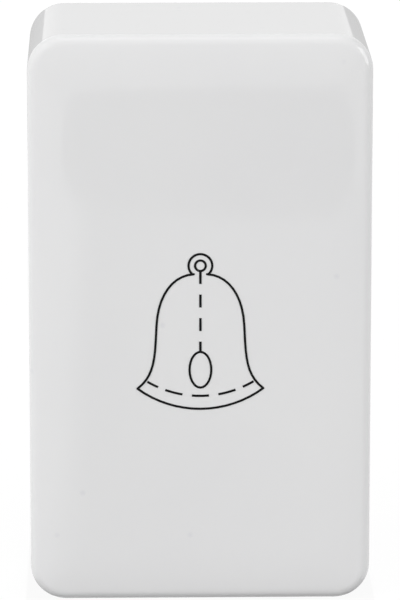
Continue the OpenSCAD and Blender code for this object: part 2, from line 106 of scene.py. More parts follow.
def addRange(tree, value, source=(0, 1), target=(0, 1), **settings):
    # moves the values of one range on to another
    inputs = {"Value": value, "From Min": source[0], "From Max": source[1],
              "To Min": target[0], "To Max": target[1]}
    return addNode(tree, "ShaderNodeMapRange", inputs, **settings).outputs["Result"]


def addMix(tree, share, first, second):
    inputs = {"Factor": share, "A": first, "B": second}
    return addNode(tree, "ShaderNodeMix", inputs, data_type="RGBA").outputs["Result"]


def perMetre(sizeMm):
    # texture scale whose pattern repeats about every sizeMm
    return 1 / (sizeMm * mm)


def addNoise(tree, place, sizeMm, detail):
    inputs = {"Vector": place, "Scale": perMetre(sizeMm), "Detail": detail}
    return addNode(tree, "ShaderNodeTexNoise", inputs).outputs["Fac"]


def addLines(tree, place, sizesMm, detail):
    # noise drawn out by a size for each direction
    drawn = addNode(tree, "ShaderNodeMapping", {"Vector": place, "Scale": [perMetre(s) for s in sizesMm]})
    inputs = {"Vector": drawn.outputs["Vector"], "Scale": 1.0, "Detail": detail}
    return addNode(tree, "ShaderNodeTexNoise", inputs).outputs["Fac"]


def addBump(tree, height, strength, deepMm):
    inputs = {"Height": height, "Strength": strength, "Distance": deepMm * mm}
    return addNode(tree, "ShaderNodeBump", inputs).outputs["Normal"]


def bareMaterial(name):
    material = bpy.data.materials.new(name)
    material.use_nodes = True
    material.node_tree.nodes.clear()
    return material, material.node_tree


def startMaterial(name):
    material, tree = bareMaterial(name)
    shader = addNode(tree, "ShaderNodeBsdfPrincipled")
    addNode(tree, "ShaderNodeOutputMaterial", {"Surface": shader.outputs["BSDF"]})
    place = addNode(tree, "ShaderNodeTexCoord").outputs["Object"]
    return material, tree, shader, place


def addObject(name, mesh):
    thing = bpy.data.objects.new(name, mesh)
    scene.collection.objects.link(thing)
    return thing


def meshFrom(name, points, faces):
    # points in mm; the faces are turned outwards
    work = bmesh.new()
    verts = [work.verts.new(Vector(p) * mm) for p in points]
    for face in faces:
        work.faces.new([verts[i] for i in face])
    bmesh.ops.recalc_face_normals(work, faces=work.faces)
    mesh = bpy.data.meshes.new(name)
    work.to_mesh(mesh)
    work.free()
    return mesh


def skin(loopCount, count, closed=False):
    # faces between loops that have the same count of points
    faces = []
    for k in range(loopCount if closed else loopCount - 1):
        a, b = k * count, (k + 1) % loopCount * count
        faces += [(a + i, a + (i + 1) % count, b + (i + 1) % count, b + i) for i in range(count)]
    return faces


def smooth(mesh, degrees=35):
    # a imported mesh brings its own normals, which no longer fit its merged copy
    if "custom_normal" in mesh.attributes:
        mesh.attributes.remove(mesh.attributes["custom_normal"])
    mesh.shade_smooth()
    mesh.set_sharp_from_angle(angle=math.radians(degrees))


def applied(thing):
    # the mesh of a piece with its modifiers worked in
    bpy.context.view_layer.update()
    mesh = bpy.data.meshes.new_from_object(thing.evaluated_get(bpy.context.evaluated_depsgraph_get()))
    thing.modifiers.clear()
    return mesh


def combine(thing, other, operation):
    # cuts another closed shape off a piece, or joins it on, and removes that shape
    step = thing.modifiers.new("combine", "BOOLEAN")
    step.operation, step.object, step.solver = operation, other, "EXACT"
    thing.data = applied(thing)
    bpy.data.objects.remove(other)


def dress(thing, material, body, slot, *nodes):
    thing.data.materials.clear()
    thing.data.materials.append(material)
    if body:
        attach(thing, body)
    if nodes:
        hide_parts(*nodes)
    return thing


def startTree(name, inputs):
    tree = bpy.data.node_groups.new(name, "GeometryNodeTree")
    tree.interface.new_socket("Geometry", in_out="OUTPUT", socket_type="NodeSocketGeometry")
    for label, kind in inputs:
        tree.interface.new_socket(label, in_out="INPUT", socket_type="NodeSocket" + kind)
    return tree, addNode(tree, "NodeGroupInput").outputs


def endTree(tree, geometry, material):
    whole = addNode(tree, "GeometryNodeRealizeInstances", {"Geometry": geometry})
    painted = addNode(tree, "GeometryNodeSetMaterial", {"Geometry": whole.outputs[0], "Material": material})
    addNode(tree, "NodeGroupOutput", {"Geometry": painted.outputs[0]})


def grow(name, tree, values, sharpFrom=50):
    # runs a tree on an empty object and keeps the result as a plain mesh
    thing = addObject(name, bpy.data.meshes.new(name + "Start"))
    modifier = thing.modifiers.new(tree.name, "NODES")
    modifier.node_group = tree
    for item in tree.interface.items_tree:
        if item.in_out == "INPUT":
            modifier[item.identifier] = values[item.name]
    mesh = applied(thing)
    mesh.name = name
    thing.data = mesh
    smooth(mesh, sharpFrom)
    return thing


# finishes

capFinish = {"white": "#eeeeee", "shade": "#eaeaeb", "cloudMm": 21, "rough": (0.03, 0.06), "ior": 1.53,
             "speck": "#e6e6e8", "speckMm": 4.2, "speckReach": (0.03, 0.11), "speckFrom": 0.2,
             "waveMm": 9, "waveDeepMm": 0.02, "waveStrength": 0.12}


def makeGlossAbs(look):
    # white ABS from a polished tool: even white, wet gloss with a slow ripple, faint clouds, dust specks
    material, tree, shader, place = startMaterial("glossWhiteAbs")
    cloud = addNoise(tree, place, look["cloudMm"], detail=2)
    tint = addMix(tree, cloud, hexColour(look["white"]), hexColour(look["shade"]))
    cell = addNode(tree, "ShaderNodeTexVoronoi", {"Vector": place, "Scale": perMetre(look["speckMm"])})
    near = addRange(tree, cell.outputs["Distance"], look["speckReach"], (1, 0))
    chosen = addMath(tree, "GREATER_THAN", cell.outputs["Color"], look["speckFrom"])    # not every cell
    speck = addMath(tree, "MULTIPLY", near, chosen)
    colour = addMix(tree, speck, tint, hexColour(look["speck"]))
    sheen = addRange(tree, cloud, target=look["rough"])
    wave = addNoise(tree, place, look["waveMm"], detail=1)
    bump = addBump(tree, wave, look["waveStrength"], look["waveDeepMm"])
    setInputs(tree, shader, {"Base Color": colour, "Roughness": sheen, "Normal": bump, "IOR": look["ior"]})
    return material


inkFinish = {"black": "#0a0a0b", "thin": "#19191a", "grainMm": 0.35, "thinFrom": (0.55, 0.8),
             "rough": (0.32, 0.5), "ior": 1.5, "shine": 0.15}


def makePadInk(look):
    # pad-printed ink: black, a little thinner in places, duller than the plastic under it
    material, tree, shader, place = startMaterial("padPrintedInk")
    grain = addNoise(tree, place, look["grainMm"], detail=3)
    worn = addRange(tree, grain, look["thinFrom"])
    colour = addMix(tree, worn, hexColour(look["black"]), hexColour(look["thin"]))
    dull = addRange(tree, grain, target=look["rough"])
    setInputs(tree, shader, {"Base Color": colour, "Roughness": dull, "IOR": look["ior"],
                             "Specular IOR Level": look["shine"]})
    return material


mouldings = {
    # white ABS from a spark-eroded tool: a fine even grain that scatters the light, slight sink clouds
    "satinWhiteAbs": {"colour": "#dfdfdc", "shade": "#d4d4d0", "cloudMm": 14, "grainMm": 0.32,
                      "grainDeepMm": 0.03, "rough": (0.42, 0.58), "ior": 1.53, "inside": 0.0},
    # natural nylon: creamy and a little see-through, satin, with slow flow clouds
    "naturalNylon": {"colour": "#e6dfc9", "shade": "#d8cfb3", "cloudMm": 8, "grainMm": 0.6,
                     "grainDeepMm": 0.015, "rough": (0.36, 0.5), "ior": 1.53, "inside": 0.25},
    # moulded black rubber: dull, with a slightly paler bloom in patches and a fine grain
    "mouldedRubber": {"colour": "#1b1b1c", "shade": "#2b2b2d", "cloudMm": 3, "grainMm": 0.25,
                      "grainDeepMm": 0.03, "rough": (0.68, 0.86), "ior": 1.52, "inside": 0.0},
}
allMouldings = {"cloudFrom": (0.35, 0.7), "grainFrom": (0.3, 0.7), "grainStrength": 0.5, "scatterMm": 0.8}


def makeMoulding(name, look, shared=allMouldings):
    material, tree, shader, place = startMaterial(name)
    cloud = addNoise(tree, place, look["cloudMm"], detail=3)
    grain = addNoise(tree, place, look["grainMm"], detail=2)
    patch = addRange(tree, cloud, shared["cloudFrom"])
    colour = addMix(tree, patch, hexColour(look["colour"]), hexColour(look["shade"]))
    dull = addRange(tree, grain, shared["grainFrom"], look["rough"])
    bump = addBump(tree, grain, shared["grainStrength"], look["grainDeepMm"])
    setInputs(tree, shader, {"Base Color": colour, "Roughness": dull, "Normal": bump, "IOR": look["ior"],
                             "Subsurface Weight": look["inside"],
                             "Subsurface Scale": shared["scatterMm"] * mm})
    return material


metals = {
    # drawn spring steel: bright grey with fine drawn-out lines
    "drawnSteel": {"colour": "#a9abad", "tarnish": "#8d8f92", "cloudMm": 3,
                   "lineMm": (0.12, 4, 0.12), "rough": (0.22, 0.38)},
    # zinc-plated steel, clear passivated: pale, a little blue, softly mottled
    "zincPlate": {"colour": "#c3c7cc", "tarnish": "#aeb0ad", "cloudMm": 1.6,
                  "lineMm": (0.5, 0.5, 0.5), "rough": (0.28, 0.45)},
    # half-hard brass sheet: yellow, rolling lines up the strip, browner clouds where it was handled
    "rolledBrass": {"colour": "#c9a45c", "tarnish": "#a9803f", "cloudMm": 4,
                    "lineMm": (0.15, 0.15, 6), "rough": (0.26, 0.42)},
    # phosphor bronze strip: redder than brass, rolling lines along the leaf
    "phosphorBronze": {"colour": "#c48a5e", "tarnish": "#a06a45", "cloudMm": 5,
                       "lineMm": (0.15, 0.15, 6), "rough": (0.24, 0.4)},
    # silver alloy contact: nearly white, with a grey sulphide film in patches
    "silverAlloy": {"colour": "#dcd9d3", "tarnish": "#a7a29a", "cloudMm": 1.2,
                    "lineMm": (0.3, 0.3, 0.3), "rough": (0.2, 0.36)},
}
allMetals = {"filmFrom": (0.42, 0.72), "lineFrom": (0.3, 0.7), "lineStrength": 0.25, "lineDeepMm": 0.01}


def makeMetal(name, look, shared=allMetals):
    material, tree, shader, place = startMaterial(name)
    lines = addLines(tree, place, look["lineMm"], detail=3)
    cloud = addNoise(tree, place, look["cloudMm"], detail=4)
    film = addRange(tree, cloud, shared["filmFrom"])
    colour = addMix(tree, film, hexColour(look["colour"]), hexColour(look["tarnish"]))
    dull = addRange(tree, lines, shared["lineFrom"], look["rough"])
    bump = addBump(tree, lines, shared["lineStrength"], shared["lineDeepMm"])
    setInputs(tree, shader, {"Base Color": colour, "Roughness": dull, "Normal": bump, "Metallic": 1.0})
    return material


fibreFinish = {"brown": "#8a5b42", "dark": "#6f452f", "clothMm": 5, "darkFrom": (0.3, 0.7),
               "fleck": "#a87c5f", "fleckMm": (0.25, 0.25, 2.2), "fleckFrom": (0.58, 0.72), "fleckCover": 0.7,
               "fleckStrength": 0.4, "fleckDeepMm": 0.03, "rough": (0.6, 0.8), "ior": 1.5}


def makeFibre(look):
    # vulcanised fibre sheet: pressed red-brown paper, matt, with paler short fibres lying along it
    material, tree, shader, place = startMaterial("vulcanisedFibre")
    cloud = addNoise(tree, place, look["clothMm"], detail=4)
    fibre = addLines(tree, place, look["fleckMm"], detail=3)
    patch = addRange(tree, cloud, look["darkFrom"])
    sheet = addMix(tree, patch, hexColour(look["brown"]), hexColour(look["dark"]))
    picked = addRange(tree, fibre, look["fleckFrom"], (0, look["fleckCover"]))
    colour = addMix(tree, picked, sheet, hexColour(look["fleck"]))
    dull = addRange(tree, fibre, target=look["rough"])
    bump = addBump(tree, fibre, look["fleckStrength"], look["fleckDeepMm"])
    setInputs(tree, shader, {"Base Color": colour, "Roughness": dull, "Normal": bump, "IOR": look["ior"]})
    return material


finish = {"glossWhiteAbs": makeGlossAbs(capFinish), "padPrintedInk": makePadInk(inkFinish)}
finish.update({name: makeMoulding(name, look) for name, look in mouldings.items()})
finish.update({name: makeMetal(name, look) for name, look in metals.items()})
finish["vulcanisedFibre"] = makeFibre(fibreFinish)
print("finishes made:", len(finish))


# key cap: a crowned front with a rounded edge, thin walls and a slanted rim

cap = {"halfWidth": 20.0, "halfHeight": 33.75, "depth": 25.0, "cornerRadius": 4.2, "edgeRadius": 1.2,
       "wall": 1.8, "face": 2.0, "insideRound": 0.6, "rimGapTop": 0.4, "rimGapLow": 2.655, "rimRound": 0.25,
       "crown": 0.16, "crownAcross": 0.35, "crownUp": 0.65,
       "pillowReach": 6.0, "pillowDrop": 0.38, "pillowPower": 2.2, "pillowSquare": 4, "edgeSlope": 6.0,
       "hold": 0.08,    # flat kept beside a rounding
       "leastRadius": 0.05, "sharpFrom": 40,
       "cornerSteps": 16, "acrossSteps": 8, "upSteps": 14, "filletSteps": 9, "insideSteps": 4, "rimSteps": 3,
       # loops on the ceiling and on the front, as shares of the outermost one
       "ceilingShares": (0.25, 0.6, 0.9),
       "frontShares": (0.993, 0.982, 0.967, 0.948, 0.925, 0.9, 0.87, 0.83, 0.78, 0.7, 0.6, 0.48, 0.34, 0.18)}


def roundedLoop(halfWidth, halfHeight, radius, look=cap):
    # points round a rounded rectangle, the same count for every size
    loop = []
    corners = [(1, 1, 0), (-1, 1, 90), (-1, -1, 180), (1, -1, 270)]
    for k, (sx, sz, start) in enumerate(corners):
        cx, cz = sx * (halfWidth - radius), sz * (halfHeight - radius)
        for i in range(look["cornerSteps"] + 1):
            a = math.radians(start + 90 * i / look["cornerSteps"])
            loop.append((cx + radius * math.cos(a), cz + radius * math.sin(a)))
        nextX, nextZ = corners[(k + 1) % 4][:2]
        a = math.radians(start + 90)
        last = Vector(loop[-1])
        there = Vector((nextX * (halfWidth - radius) + radius * math.cos(a),
                        nextZ * (halfHeight - radius) + radius * math.sin(a)))
        steps = look["acrossSteps"] if k % 2 == 0 else look["upSteps"]
        loop += [tuple(last.lerp(there, i / steps)) for i in range(1, steps)]
    return loop


def frontHeight(x, z, look=cap):
    # height of the front over the wall: a slight crown that falls away near the edges
    across, up = x / look["halfWidth"], z / look["halfHeight"]
    crown = look["crown"] * (look["crownAcross"] * across ** 2 + look["crownUp"] * up ** 2)
    u = max(0, 1 - (look["halfWidth"] - abs(x)) / look["pillowReach"])
    v = max(0, 1 - (look["halfHeight"] - abs(z)) / look["pillowReach"])
    square = look["pillowSquare"]
    edge = look["pillowDrop"] * (u ** square + v ** square) ** (look["pillowPower"] / square)
    return look["depth"] - crown - edge


def rimHeight(z, look=cap):
    slope = (look["rimGapLow"] - look["rimGapTop"]) / (2 * look["halfHeight"])
    return look["rimGapTop"] + (look["halfHeight"] - z) * slope


def capLoops(look):
    # from the middle of the ceiling down the inside, round the rim, up the outside and over the front
    w, h, r = look["halfWidth"], look["halfHeight"], look["cornerRadius"]
    inside = [w - look["wall"], h - look["wall"], r - look["wall"]]
    ceiling = look["depth"] - look["face"]
    loops = []

    def addLoop(inset, heightOf, base=(w, h, r)):
        flat = roundedLoop(base[0] - inset, base[1] - inset, max(base[2] - inset, look["leastRadius"]))
        loops.append([(x, -heightOf(x, z), z) for x, z in flat])

    # inside: ceiling, its rounded corner, the wall down to the rim
    rIn, rRim, hold = look["insideRound"], look["rimRound"], look["hold"]
    flat = roundedLoop(inside[0] - rIn, inside[1] - rIn, inside[2] - rIn)
    for share in look["ceilingShares"]:
        loops.append([(x * share, -ceiling, z * share) for x, z in flat])
    for i in range(look["insideSteps"] + 1):
        a = math.radians(90 - 90 * i / look["insideSteps"])
        addLoop(rIn * (1 - math.cos(a)), lambda x, z: ceiling - rIn * (1 - math.sin(a)), inside)
    addLoop(0, lambda x, z: ceiling - rIn - hold, inside)
    addLoop(0, lambda x, z: rimHeight(z) + rRim + hold, inside)
    for i in range(look["rimSteps"] + 1):
        a = math.radians(90 * i / look["rimSteps"])
        addLoop(-rRim * (1 - math.cos(a)), lambda x, z: rimHeight(z) + rRim * (1 - math.sin(a)), inside)
    for i in range(look["rimSteps"] + 1):
        a = math.radians(90 - 90 * i / look["rimSteps"])
        addLoop(rRim * (1 - math.cos(a)), lambda x, z: rimHeight(z) + rRim * (1 - math.sin(a)))
    # outside: the wall up to the edge rounding, then the crowned front
    rOut, end = look["edgeRadius"], math.radians(90 - look["edgeSlope"])
    endInset = rOut * (1 - math.cos(end))
    endLoop = roundedLoop(w - endInset, h - endInset, r - endInset)
    centres = [frontHeight(x, z) - rOut * math.sin(end) for x, z in endLoop]
    addLoop(0, lambda x, z: rimHeight(z) + rRim + hold)
    loops.append([(x, -(c - hold), z) for (x, z), c in zip(roundedLoop(w, h, r), centres)])
    for i in range(look["filletSteps"] + 1):
        a = end * i / look["filletSteps"]
        inset = rOut * (1 - math.cos(a))
        flat = roundedLoop(w - inset, h - inset, r - inset)
        loops.append([(x, -(c + rOut * math.sin(a)), z) for (x, z), c in zip(flat, centres)])
    for share in look["frontShares"]:
        loops.append([(x * share, -frontHeight(x * share, z * share), z * share) for x, z in endLoop])
    return loops


def makeCapMesh(look):
    # the loops, closed by a point in the middle of the ceiling and one in the middle of the front
    loops = capLoops(look)
    count = len(loops[0])
    points = [p for loop in loops for p in loop]
    last, low, high = len(points) - count, len(points), len(points) + 1
    points += [(0, look["face"] - look["depth"], 0), (0, -look["depth"], 0)]
    faces = skin(len(loops), count)
    for i in range(count):
        j = (i + 1) % count
        faces += [(low, j, i), (high, last + i, last + j)]
    return meshFrom("keyCap", points, faces)


posts = {"x": 12.15, "z": 10.0, "reach": 3.0, "sink": 0.4}


def onePost(node, look, ceilingMm):
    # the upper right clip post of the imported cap, moved to the middle and sunk a little into the ceiling
    work = bmesh.new()
    work.from_mesh(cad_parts[node].data)
    bmesh.ops.remove_doubles(work, verts=work.verts, dist=touch)
    ceiling, spot = -ceilingMm * mm, Vector((look["x"], look["z"])) * mm

    def onCeiling(v):
        return abs(v.co.y - ceiling) < touch

    def onPost(v):
        return v.co.y > ceiling - touch and (Vector((v.co.x, v.co.z)) - spot).length < look["reach"] * mm

    away = [f for f in work.faces
            if not all(onPost(v) for v in f.verts) or all(onCeiling(v) for v in f.verts)]
    bmesh.ops.delete(work, geom=away, context="FACES")
    bmesh.ops.delete(work, geom=[v for v in work.verts if not v.link_faces], context="VERTS")
    for v in work.verts:
        v.co -= Vector((spot.x, look["sink"] * mm if onCeiling(v) else 0, spot.y))
    bmesh.ops.holes_fill(work, edges=[e for e in work.edges if e.is_boundary])
    mesh = bpy.data.meshes.new("onePost")
    work.to_mesh(mesh)
    work.free()
    return addObject("onePost", mesh)


def makeGridTree():
    # one shape at the four corners of a rectangle on the wall
    sockets = [("Shape", "Object"), ("Across", "Float"), ("Up", "Float"), ("Material", "Material")]
    tree, given = startTree("fourPlaces", sockets)
    size = {"Size X": given["Across"], "Size Y": given["Up"], "Vertices X": 2, "Vertices Y": 2}
    grid = addNode(tree, "GeometryNodeMeshGrid", size)
    turn = {"Geometry": grid.outputs["Mesh"], "Rotation": (math.radians(90), 0, 0)}
    upright = addNode(tree, "GeometryNodeTransform", turn)
    shape = addNode(tree, "GeometryNodeObjectInfo", {"Object": given["Shape"]})
    copies = {"Points": upright.outputs[0], "Instance": shape.outputs["Geometry"]}
    placed = addNode(tree, "GeometryNodeInstanceOnPoints", copies)
    endTree(tree, placed.outputs[0], given["Material"])
    return tree


keyCap = addObject("keyCap", makeCapMesh(cap))
post = onePost("key_cap", posts, cap["depth"] - cap["face"])
fourPosts = grow("clipPosts", makeGridTree(), {
    "Shape": post, "Across": 2 * posts["x"] * mm, "Up": 2 * posts["z"] * mm,
    "Material": finish["glossWhiteAbs"]})
bpy.data.objects.remove(post)
combine(keyCap, fourPosts, "UNION")
smooth(keyCap.data, cap["sharpFrom"])
dress(keyCap, finish["glossWhiteAbs"], "key", "gloss_white_abs", "key_cap")
print("key cap:", len(keyCap.data.polygons), "faces")

# the printed bell, laid on the crown and sunk a little into it
bell = {"merge": 0.0005, "sink": 0.01}
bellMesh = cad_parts["bell_symbol"].data.copy()
bellMesh.name = "bellPrint"
work = bmesh.new()
work.from_mesh(bellMesh)
bmesh.ops.remove_doubles(work, verts=work.verts, dist=bell["merge"] * mm)
for v in work.verts:
    v.co.y += (cap["depth"] - frontHeight(v.co.x / mm, v.co.z / mm)) * mm + bell["sink"] * mm
work.to_mesh(bellMesh)
work.free()
dress(addObject("bellPrint", bellMesh), finish["padPrintedInk"], "key", "black_ink", "bell_symbol")
print("bell print laid on")


# plates and frames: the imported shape, merged, with its edges broken by the last value, in mm

plates = {
    "baseTray": ("base_plate", "base", "satinWhiteAbs", "satin_white_abs", 0.18),
    "backSheet": ("back_insulator", "base", "vulcanisedFibre", "fibre_sheet", 0.06),
    "rockerFrame": ("rocker_carrier", "key", "naturalNylon", "natural_nylon", 0.15),
    "contactStrip": ("fixed_contact_strip", "base", "rolledBrass", "brass", 0.08),
}


def mergedCopy(name, node, cuts=(), flatWithin=0.5):
    # cuts are heights up the wall, in mm, where a bending piece gets extra edges
    work = bmesh.new()
    work.from_mesh(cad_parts[node].data)
    bmesh.ops.remove_doubles(work, verts=work.verts, dist=touch)
    bmesh.ops.dissolve_limit(work, angle_limit=math.radians(flatWithin), verts=work.verts, edges=work.edges)
    for z in cuts:
        geom = work.verts[:] + work.edges[:] + work.faces[:]
        bmesh.ops.bisect_plane(work, geom=geom, dist=touch, plane_co=(0, 0, z * mm), plane_no=(0, 0, 1))
    mesh = bpy.data.meshes.new(name)
    work.to_mesh(mesh)
    work.free()
    smooth(mesh)
    return addObject(name, mesh)


def breakEdges(thing, widthMm, segments=2, sharpFrom=50):
    bevel = thing.modifiers.new("brokenEdges", "BEVEL")
    bevel.width, bevel.segments = widthMm * mm, segments
    bevel.limit_method, bevel.angle_limit = "ANGLE", math.radians(sharpFrom)
    bevel.harden_normals = True


for name, (node, body, look, slot, edge) in plates.items():
    thing = mergedCopy(name, node)
    breakEdges(thing, edge)
    dress(thing, finish[look], body, slot, node)
print("plates and frames copied")

# the spring leaf gets extra edges across it, from its seat to the contact button
leaf = {"seat": 0.3, "tip": -10.7, "bends": 16, "out": 9.73}
leafRun = leaf["tip"] - leaf["seat"]
leafCuts = [leaf["seat"] + leafRun * i / leaf["bends"] for i in range(leaf["bends"] + 1)]
contactLeaf = mergedCopy("contactLeaf", "contact_leaf", leafCuts)
dress(contactLeaf, finish["phosphorBronze"], None, "phosphor_bronze", "contact_leaf")
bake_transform(contactLeaf)
print("contact leaf bends over", leaf["bends"], "steps")


# turned and round pieces, from their profiles: radius and height over the wall, in mm

def turnedMesh(name, profile, x=0, z=0, steps=40, closed=False):
    points, rings = [], []
    for radius, out in profile:
        if radius <= 0:
            rings.append([len(points)] * steps)
            points.append((x, -out, z))
        else:
            rings.append(list(range(len(points), len(points) + steps)))
            turns = [2 * math.pi * i / steps for i in range(steps)]
            points += [(x + radius * math.cos(t), -out, z + radius * math.sin(t)) for t in turns]
    faces = []
    pairs = list(zip(rings, rings[1:])) + ([(rings[-1], rings[0])] if closed else [])
    for a, b in pairs:
        for i in range(steps):
            j = (i + 1) % steps
            corners = [a[i], a[j], b[j], b[i]]
            faces.append([c for k, c in enumerate(corners) if c not in corners[:k]])
    mesh = meshFrom(name, points, faces)
    smooth(mesh)
    return mesh


def addTurned(name, profile, **settings):
    return addObject(name, turnedMesh(name, profile, **settings))


def rounded(radius, out, size, start, end, steps=4):
    # a rounded corner of a profile: centre, size and the angles it runs through
    turns = [math.radians(start + (end - start) * i / steps) for i in range(steps + 1)]
    return [(radius + size * math.cos(t), out + size * math.sin(t)) for t in turns]


# contact buttons: a straight side, a rounded edge and a slightly domed face
contact = {"z": -13.0, "radius": 1.8, "fixed": (6.4, 7.2), "moving": (8.78, 9.58), "sideTop": 0.3,
           "edge": 0.2, "edgeTurn": 80, "dome": 0.08,
           "domeHalfway": 0.3}    # share of the dome's drop at half the radius


def buttonProfile(low, high, look):
    radius, edge, dome = look["radius"], look["edge"], look["dome"]
    side = [(0, low), (radius, low), (radius, high - look["sideTop"])]
    corner = rounded(radius - edge, high - edge - dome, edge, 0, look["edgeTurn"])
    return side + corner + [(radius / 2, high - dome * look["domeHalfway"]), (0, high)]


def flipped(profile, low, high):
    return [(r, low + high - out) for r, out in profile]


fixedProfile = buttonProfile(*contact["fixed"], contact)
movingProfile = flipped(buttonProfile(*contact["moving"], contact), *contact["moving"])
dress(addTurned("fixedButton", fixedProfile, z=contact["z"]),
      finish["silverAlloy"], "base", "silver_contact", "fixed_contact")
dress(addTurned("movingButton", movingProfile, z=contact["z"]),
      finish["silverAlloy"], "key", "silver_contact", "moving_contact")

# plunger: stem in the low bar, shoulder, round nose on the leaf
nose = {"z": -13.0, "stem": 1.5, "body": 2.0, "tip": 9.93, "shoulder": 14.0, "top": 17.0, "edge": 0.2,
        "noseTurn": 80, "noseSteps": 9}


def noseProfile(look):
    body, stem, shoulder, top, edge = (look[k] for k in ("body", "stem", "shoulder", "top", "edge"))
    tip = [(0, look["tip"])] + rounded(0, look["tip"] + body, body, -look["noseTurn"], 0, look["noseSteps"])
    step = [(body, shoulder - edge), (body - edge, shoulder), (stem, shoulder)]
    return tip + step + [(stem, top - edge), (stem - edge, top), (0, top)]


dress(addTurned("plungerPin", noseProfile(nose), z=nose["z"]),
      finish["naturalNylon"], "key", "natural_nylon", "plunger")

# cable grommet: two soft lips and a neck round the bore
lips = {"z": 14.2, "bore": 3.0, "neck": 3.95, "lip": 5.25, "back": (0.4, 1.4), "front": (3.0, 4.2),
        "round": 0.35, "steps": 64}


def lipProfile(low, high, look):
    size = look["round"]
    radius = look["lip"] - size
    return rounded(radius, low + size, size, -90, 0) + rounded(radius, high - size, size, 0, 90)


def grommetProfile(look):
    size, (low, backTop), (frontLow, top) = look["round"], look["back"], look["front"]
    neck = [(look["neck"], backTop), (look["neck"], frontLow)]
    outside = lipProfile(low, backTop, look) + neck + lipProfile(frontLow, top, look)
    bore = look["bore"] + size
    return outside + rounded(bore, top - size, size, 90, 180) + rounded(bore, low + size, size, 180, 270)


dress(addTurned("cableGrommet", grommetProfile(lips), z=lips["z"], steps=lips["steps"], closed=True),
      finish["mouldedRubber"], "base", "black_rubber", "cable_grommet")

# stop pads: rubber discs with a rounded rim and a slight dish, given as shares of the radius and drops
pads = {"foot": 0.2, "rim": 0.4, "dish": ((0.6, 0.03), (0.45, 0.15), (0, 0.2))}
for side, node in (("Left", "stop_pad_left"), ("Right", "stop_pad_right")):
    lo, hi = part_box(node)
    radius, low, high = (hi.x - lo.x) / 2 / mm, -hi.y / mm, -lo.y / mm
    profile = [(0, low), (radius - pads["foot"], low), (radius, low + pads["foot"])]
    profile += rounded(radius - pads["rim"], high - pads["rim"], pads["rim"], 0, 90)
    profile += [(radius * share, high - drop) for share, drop in pads["dish"]]
    pad = addTurned("stopPad" + side, profile, x=(lo.x + hi.x) / 2 / mm, z=(lo.z + hi.z) / 2 / mm)
    dress(pad, finish["mouldedRubber"], "base", "black_rubber", node)

# hinge pins: turned upright, then laid along the hinge
pins = {"chamfer": 0.25}
for side, node in (("Left", "hinge_pin_left"), ("Right", "hinge_pin_right")):
    lo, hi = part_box(node)
    radius, half, cut = (hi.z - lo.z) / 2 / mm, (hi.x - lo.x) / 2 / mm, pins["chamfer"]
    profile = [(0, -half), (radius - cut, -half), (radius, -half + cut)]
    profile += [(radius, half - cut), (radius - cut, half), (0, half)]
    pin = addTurned("hingePin" + side, profile)
    pin.data.transform(Matrix.Translation((lo + hi) / 2) @ Matrix.Rotation(math.radians(90), 4, "Z"))
    dress(pin, finish["drawnSteel"], "base", "steel", node)

print("turned pieces made")


# wound and set-out pieces, by geometry nodes

def makeCoilTree(wireSides=10):
    # a round wire wound on a cylinder, with close turns at its ends, standing out from the wall
    sizes = ("Coil radius", "Wire radius", "Length", "Turns", "End turns", "Close rise")
    sockets = [(name, "Float") for name in sizes]
    sockets += [("Steps", "Int"), ("Place", "Vector"), ("Material", "Material")]
    tree, given = startTree("coil", sockets)

    def calc(operation, first, second=0.0):
        return addMath(tree, operation, first, second)

    line = addNode(tree, "GeometryNodeCurvePrimitiveLine")
    fine = addNode(tree, "GeometryNodeResampleCurve", {"Curve": line.outputs[0], "Count": given["Steps"]})
    along = addNode(tree, "GeometryNodeSplineParameter").outputs["Factor"]
    turn = calc("MULTIPLY", calc("MULTIPLY", along, given["Turns"]), 2 * math.pi)
    share = calc("DIVIDE", given["End turns"], given["Turns"])
    opened = addRange(tree, along, (share, calc("SUBTRACT", 1.0, share)))
    closedRise = calc("MULTIPLY", given["Close rise"], given["Turns"])
    wireWidth = calc("MULTIPLY", given["Wire radius"], 2.0)
    free = calc("SUBTRACT", calc("SUBTRACT", given["Length"], wireWidth), closedRise)
    rise = calc("ADD", calc("MULTIPLY", along, closedRise), calc("MULTIPLY", opened, free))
    spot = addNode(tree, "ShaderNodeCombineXYZ", {
        "X": calc("MULTIPLY", given["Coil radius"], calc("COSINE", turn)),
        "Y": calc("MULTIPLY", given["Coil radius"], calc("SINE", turn)),
        "Z": calc("ADD", rise, given["Wire radius"])})
    wound = addNode(tree, "GeometryNodeSetPosition",
                    {"Geometry": fine.outputs[0], "Position": spot.outputs[0]})
    section = addNode(tree, "GeometryNodeCurvePrimitiveCircle",
                      {"Resolution": wireSides, "Radius": given["Wire radius"]})
    wire = addNode(tree, "GeometryNodeCurveToMesh",
                   {"Curve": wound.outputs[0], "Profile Curve": section.outputs[0], "Fill Caps": True})
    stood = addNode(tree, "GeometryNodeTransform", {
        "Geometry": wire.outputs[0], "Rotation": (math.radians(90), 0, 0), "Translation": given["Place"]})
    endTree(tree, stood.outputs[0], given["Material"])
    return tree


